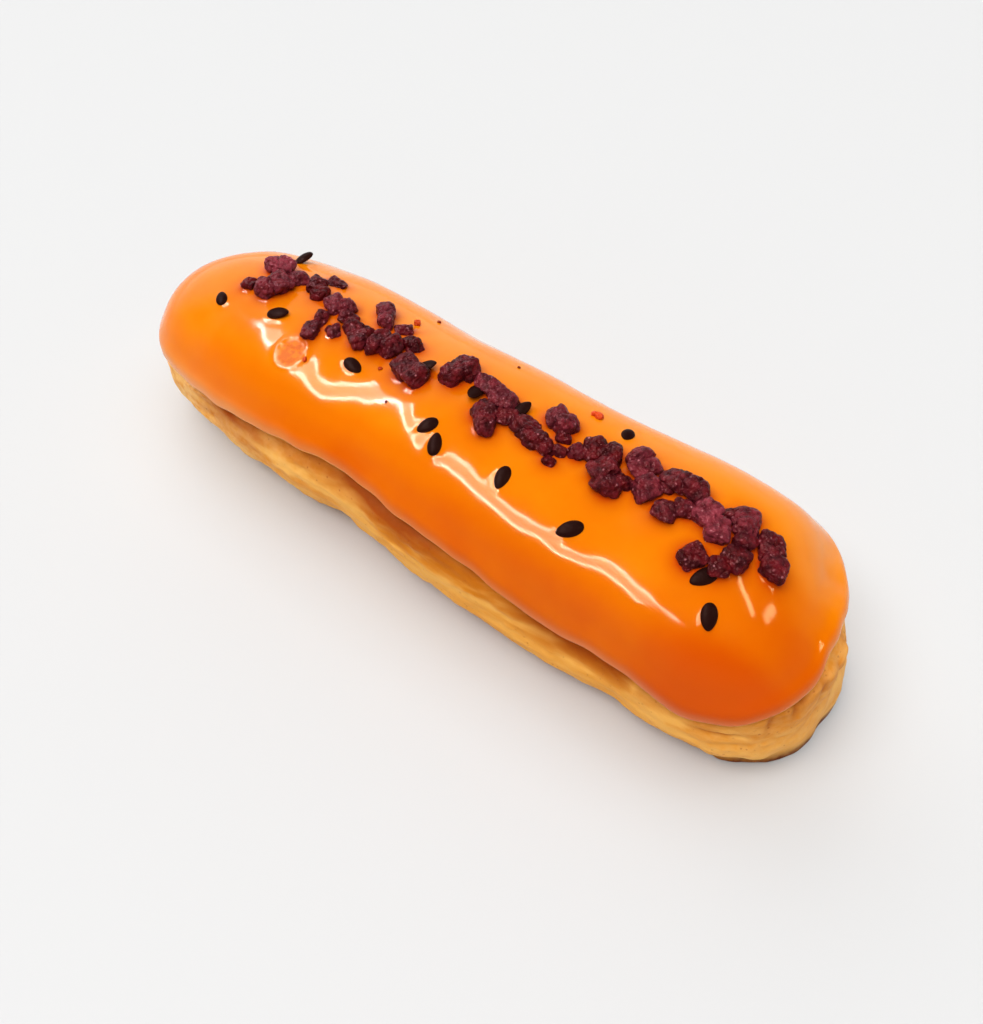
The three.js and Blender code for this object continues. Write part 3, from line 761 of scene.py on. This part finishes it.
# How far the bare choux stands out of the form: back under the lip, a hollow, then the rib, the folds
# at the ends and the named creases, each a bell along and across its own line.
def chouxRelief(turn, height, below):
    run = turn * form["perimeter"]
    fromNearTip = (turn - 0.5) * form["perimeter"]
    fromFarTip = (turn - np.round(turn)) * form["perimeter"]
    nearEnd = bell(fromNearTip, choux["nearReach"])
    farEnd = bell(fromFarTip, choux["farReach"])
    farSide = bell(fromFarTip - choux["farSide"][0], choux["farSide"][1])
    hollowRun = choux["hollowRun"] + 1.8 * np.sin(turn * 38 + 0.6)
    hollowRun = hollowRun - 2.5 * nearEnd - 2 * farEnd - 3 * farSide
    hollowRun = np.maximum(hollowRun, choux["shortestRun"])
    back = (glaze["thick"] + glaze["seam"]) * (1 - smoothStep(below, 0.9, hollowRun))
    hollow = choux["hollowDepth"] * (0.65 + 0.35 * np.sin(turn * 51 + 2.2))
    hollow = hollow * (1 - nearEnd) * (1 - 0.8 * farSide)
    rib = choux["ribBulge"] * bell(height - choux["ribHeight"], choux["ribReach"])
    rib = rib * (0.8 + 0.2 * np.sin(turn * 63))
    tuck = choux["endTuck"] * bell(fromNearTip, 16) * bell(height - 13, 6)
    folds = choux["foldDepth"] * (nearEnd + 0.5 * farEnd) * np.sin(fromNearTip / 1.15 + height / 4)
    creased = 0
    for place, level, length, tall, fall, depth in choux["creases"]:
        beside = run - place * form["perimeter"]
        creased = creased + depth * bell(beside, length) * bell(height - level - fall * beside, tall)
    creased = creased * smoothStep(below, 0.2, 1.2)
    clearOfBase = smoothStep(height, 0, 3)
    keel = closedCurve(choux["keelShifts"], turn)
    keel = keel * (1 - smoothStep(height, 6, 11.5)) * smoothStep(height, 0, 1.5)
    relief = (rib - tuck + folds * smoothStep(below, 1, 4)) * clearOfBase + keel
    relief = relief - back - hollow * bell(below - choux["hollowBelow"], 2.4)
    # browning and painted shade in the hollow under the lip and in the creases, for the crust's colour
    shadedAndBrowned = hollow * bell(below - choux["hollowBelow"], 3.2) + 0.9 * creased
    return relief - creased * clearOfBase, shadedAndBrowned


# How far the side moves along and across to fill the squared foot of the near end: what it falls short
# of the foot's reach, along the bearing there, fading out upwards and to both sides.
def footShift(turn, run, height, distance):
    reach = openCurve(choux["footReach"], (turn - choux["footStart"]) / choux["footStep"])
    reach = reach + 0.1 * np.sin(turn * 260) + 0.1 * roughness(run, 2.0, 2, 3)
    short = np.maximum(reach - distance, 0)
    short = short * smoothStep(turn, 0.41, 0.44) * (1 - smoothStep(turn, 0.575, 0.63))
    short = short * smoothStep(height, 0, 0.5) * (1 - smoothStep(height, 4, 10.5))
    bearing = (turn - 0.5) * form["perimeter"] / form["capRadius"]
    return short * np.cos(bearing), short * np.sin(bearing)


# The choux: flat base, keel and side up to the lip, then on under the glaze to the crest.
def chouxShell():
    turn = np.arange(choux["columns"]) / choux["columns"]
    edge = lipAngle(turn)
    spineX, _ = spineAt(turn)
    share = (np.linspace(0, 1, choux["sideRows"]) ** 1.05)[:, None]
    angle = -math.pi / 2 + (edge + math.pi / 2) * share
    point, normal, _ = formAt(turn + 0 * angle, angle)
    height = point[..., 2]
    below = lipHeight(turn) - height
    relief, shadedAndBrowned = chouxRelief(turn + 0 * angle, height, below)
    run = np.stack([turn * form["perimeter"] + 0 * angle, height, 0 * angle], -1)
    swells, streaks, grain = choux["swells"], choux["streaks"], choux["grain"]
    skin = swells[0] * roughness(point, swells[1], 3, 11) - choux["skinBelow"]
    skin = skin + streaks[0] * roughness(run * np.array([0.2, 0.8, 1.0]), streaks[1], 2, 23)
    skin = skin + grain[0] * roughness(point, grain[1], 2, 31)
    relief = relief + skin * smoothStep(height, 0, 2.5)
    relief[0] = 0
    side = point + normal * relief[..., None]
    side[..., 2] = np.maximum(side[..., 2], 0)
    shiftX, shiftY = footShift(turn, run, height, np.hypot(side[..., 0] - spineX, side[..., 1]))
    side[..., 0] += shiftX
    side[..., 1] += shiftY
    inner = []
    for step in range(1, choux["topRows"]):
        top, normal, _ = formAt(turn, edge + (math.pi / 2 - edge) * step / choux["topRows"])
        inner.append(top - normal * (glaze["thick"] + glaze["seam"]))
    crest = np.stack([spineX, 0 * spineX, crownAt(spineX) - glaze["thick"] - glaze["seam"]], -1)
    base = np.stack([spineX, 0 * spineX, 0 * spineX], -1)
    rows = np.concatenate([base[None], side, np.stack(inner), crest[None]])
    hidden = np.zeros((len(inner) + 1, len(turn)))
    pad = np.zeros((1, len(turn)))
    fromFarPale = turn - choux["farPale"]
    fromFarPale = (fromFarPale - np.round(fromFarPale)) * form["perimeter"]
    atFar = bell(fromFarPale, choux["paleReach"])
    atNear = bell((turn - 0.5) * form["perimeter"], choux["paleReach"])
    return shellFrom(rows, {
        "ends": np.tile(np.maximum(0.4 * atNear, atFar), (len(rows), 1)),
        # browning and painted contact shade at the foot, strongest round the near end
        "foot": np.tile(0.3 + 0.9 * atNear, (len(rows), 1)),
        # browning and painted shade in the hollow and creases
        "hollow": np.concatenate([pad, np.clip(shadedAndBrowned, 0, 1.2), hidden]),
        "level": np.concatenate([pad, height, hidden]),
    })


def crustWires(wire):
    broad = wire.noise(4.5, 3, (0.4, 0.4, 1.5))
    fine = wire.noise(1.3, 3)
    level = wire.field("level")
    ends = wire.field("ends")
    # painted highlight along the rib, where it stands out into the light; it also holds back the brown
    ribHighlight = level.between(2.5, 6) * (1 - level.between(8, 13))
    # browned crust and painted shade in the hollow under the lip and in the creases
    brownAndShade = (wire.field("hollow") * 1.35 + broad - 0.5 - 0.3 * ribHighlight - 0.2 * ends).clipped()
    colour = wire.mix(broad.between(0.35, 0.6), choux["lightColour"], choux["midColour"])
    colour = wire.mix(ribHighlight * 0.5, colour, choux["lightColour"])
    colour = wire.mix(ends * fine.between(0.2, 0.7), colour, choux["endColour"])
    colour = wire.mix(brownAndShade, colour, choux["brownAndShadeColour"])
    # browned base and painted contact shade along the foot, strongest round the near end
    foot = (1 - level.between(0.8, 4)) * (0.4 + fine) * wire.field("foot")
    colour = wire.mix(foot.clipped(), colour, choux["footBrownAndShadeColour"])
    pores = wire.cells(0.9).between(0.28, 0.1) * fine.between(0.5, 0.65)
    colour = wire.mix(pores * 0.5, colour, choux["brownAndShadeColour"])
    return {"Base Color": colour, "Roughness": 0.45 + 0.3 * fine, "bump": (fine - pores * 0.6, 0.16)}


# Making the pieces.
glazeFinish = finishOf("orangeGlaze", {
    "IOR": 1.25, "Specular Tint": (1.0, 0.74, 0.4, 1.0),
    "Subsurface Weight": 0.15, "Subsurface Scale": 0.0012, "Subsurface Radius": (1.0, 0.35, 0.05),
}, glazeWires)
crumbFinish = finishOf("sugaredCrumb", {
    "Roughness": crumbs["roughness"], "IOR": 1.2, "Specular Tint": (1.0, 0.45, 0.3, 1.0),
}, crumbWires)
seedFinish = finishOf("sesameHusk", {
    "Roughness": seeds["roughness"], "IOR": 1.09, "Specular Tint": (1.0, 0.6, 0.35, 1.0),
}, seedWires)
crustFinish = finishOf("bakedChoux", {
    "IOR": 1.2, "Specular Tint": (1.0, 0.7, 0.3, 1.0),
    "Subsurface Weight": 0.08, "Subsurface Scale": 0.001, "Subsurface Radius": (1.0, 0.5, 0.2),
}, crustWires)

chouxPiece = pieceFrom("chouxCrust", chouxShell(), crustFinish)
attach(chouxPiece, "root")
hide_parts("choux")

glazePiece = pieceFrom("glazeCoat", glazeShell(), glazeFinish)
crumbPiece = pieceFrom("sugarCrumbs", crumbShells(), crumbFinish)
seedShells = [seedShell(*place) for place in seeds["places"]]
seedPiece = pieceFrom("sesameSeeds", joinShells(seedShells), seedFinish)
for piece in (glazePiece, crumbPiece, seedPiece):
    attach(piece, "root")
    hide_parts("glaze")

# Floor, light and camera.
studio = {
    "floorHalf": 6.0,
    "floorDrop": 0.00005,
    "floorColour": (0.6, 0.6, 0.598, 1.0),
    "floorRoughness": 0.9,
    "zenith": (0.03, 0.03, 0.035, 1.0),
    "horizon": (0.93, 0.93, 0.92, 1.0),
    "glow": (1.9, 1.9, 1.9, 1.0),  # a low soft light beyond the far end
    "glowFrom": (-0.78, 0.45, 0.36),
    "aim": (0.0, -0.008, 0.022),
}

# Each light: the direction it comes from, its long axis, its distance, its two sides, where it is moved
# along those sides, how bright its face is, and whether it is a reflection or a light. All in metres.
window = {"from": (-0.47, -0.45, 0.76), "long": (0.62, -0.78, -0.08), "away": 0.5, "reflects": True,
          "colour": (0.9, 0.97, 1.3)}
overhead = {"long": (1, 0, 0), "away": 3.0, "moved": (0, 0), "reflects": False, "colour": (1, 1, 1)}
lights = {
    "windowPane": {**window, "sides": (0.60, 0.062), "moved": (-0.03, 0.034), "bright": 20.0},
    "windowUpperEdge": {**window, "sides": (0.60, 0.014), "moved": (-0.03, 0.072), "bright": 100.0},
    "windowLowerEdge": {**window, "sides": (0.60, 0.014), "moved": (-0.03, -0.004), "bright": 120.0},
    "endGlint": {"from": (0.41, 0.03, 0.91), "long": (0.26, -0.13, -0.11), "away": 0.7, "reflects": True,
                 "sides": (0.22, 0.05), "moved": (0, 0), "bright": 34.0, "colour": (1.0, 1.15, 1.0)},
    "endGlintSide": {"from": (0.67, 0.26, 0.69), "long": (0.04, 0.39, -0.19), "away": 0.7, "reflects": True,
                     "sides": (0.18, 0.06), "moved": (-0.04, 0), "bright": 24.0, "colour": (1.0, 1.15, 1.0)},
    "broadCeiling": {**overhead, "from": (0, 0, 1), "sides": (4.4, 4.4), "bright": 1.25},
    "ceilingLamp": {**overhead, "from": (0, 0, 1), "sides": (2.0, 2.0), "bright": 2.85},
    "frontBox": {**overhead, "from": (0, -0.485, 0.875), "sides": (3.0, 1.15), "bright": 5.3},
}


def addFloor():
    half, drop = studio["floorHalf"], -studio["floorDrop"]
    mesh = bpy.data.meshes.new("floor")
    corners = [(-half, -half, drop), (half, -half, drop), (half, half, drop), (-half, half, drop)]
    mesh.from_pydata(corners, [], [(0, 1, 2, 3)])
    material = bpy.data.materials.new("paleFloor")
    material.use_nodes = True
    surface = material.node_tree.nodes["Principled BSDF"]
    surface.inputs["Base Color"].default_value = studio["floorColour"]
    surface.inputs["Roughness"].default_value = studio["floorRoughness"]
    surface.inputs["Specular IOR Level"].default_value = 0.0
    mesh.materials.append(material)
    floor = bpy.data.objects.new("floor", mesh)
    bpy.context.scene.collection.objects.link(floor)


def addWorld():
    world = bpy.data.worlds.new("studio")
    bpy.context.scene.world = world
    world.use_nodes = True
    tree = world.node_tree
    tree.nodes.clear()
    wire = Wire(tree)
    where = wire.node("ShaderNodeTexCoord", output="Generated")
    height = wire.node("ShaderNodeSeparateXYZ", {}, {"Vector": where}, "Z")
    sockets = {0: where, 1: Vector(studio["glowFrom"]).normalized()}
    toGlow = wire.node("ShaderNodeVectorMath", {"operation": "DOT_PRODUCT"}, sockets, "Value")
    colour = wire.mix(height.between(0.0, 0.7), studio["horizon"], studio["zenith"])
    colour = wire.mix(toGlow.between(0.7, 1.0), colour, studio["glow"])
    background = wire.node("ShaderNodeBackground", {}, {"Color": colour, "Strength": 1.0})
    wire.node("ShaderNodeOutputWorld", {}, {"Surface": background})


def addLight(name, setup):
    lamp = bpy.data.lights.new(name, "AREA")
    lamp.shape = "RECTANGLE"
    lamp.size, lamp.size_y = setup["sides"]
    lamp.energy = setup["bright"] * math.pi * lamp.size * lamp.size_y
    lamp.color = setup["colour"]
    back = Vector(setup["from"]).normalized()
    side = Vector(setup["long"])
    side = (side - back * side.dot(back)).normalized()
    upward = back.cross(side)
    moved = side * setup["moved"][0] + upward * setup["moved"][1]
    place = Vector(studio["aim"]) + back * setup["away"] + moved
    holder = bpy.data.objects.new(name, lamp)
    holder.matrix_world = Matrix.Translation(place) @ Matrix((side, upward, back)).transposed().to_4x4()
    holder.visible_camera = False
    holder.visible_glossy = setup["reflects"]
    holder.visible_diffuse = not setup["reflects"]
    bpy.context.scene.collection.objects.link(holder)


shot = {
    "target": (0.00887, -0.00607, 0.014),
    "azimuth": 37.94,
    "elevation": 50.73,
    "distance": 0.16843,
    "lens": 37.69,
}


def addCamera():
    azimuth, elevation = math.radians(shot["azimuth"]), math.radians(shot["elevation"])
    flat = math.cos(elevation)
    back = Vector((math.sin(azimuth) * flat, -math.cos(azimuth) * flat, math.sin(elevation)))
    data = bpy.data.cameras.new("camera")
    data.lens = shot["lens"]
    data.clip_start = 0.01
    camera = bpy.data.objects.new("camera", data)
    camera.location = Vector(shot["target"]) + back * shot["distance"]
    camera.rotation_mode = "QUATERNION"
    camera.rotation_quaternion = (-back).to_track_quat("-Z", "Y")
    bpy.context.scene.collection.objects.link(camera)
    bpy.context.scene.camera = camera


addFloor()
addWorld()
for name, setup in lights.items():
    addLight(name, setup)
addCamera()
bpy.context.scene.view_settings.view_transform = "Standard"
print("floor, light and camera are in place")
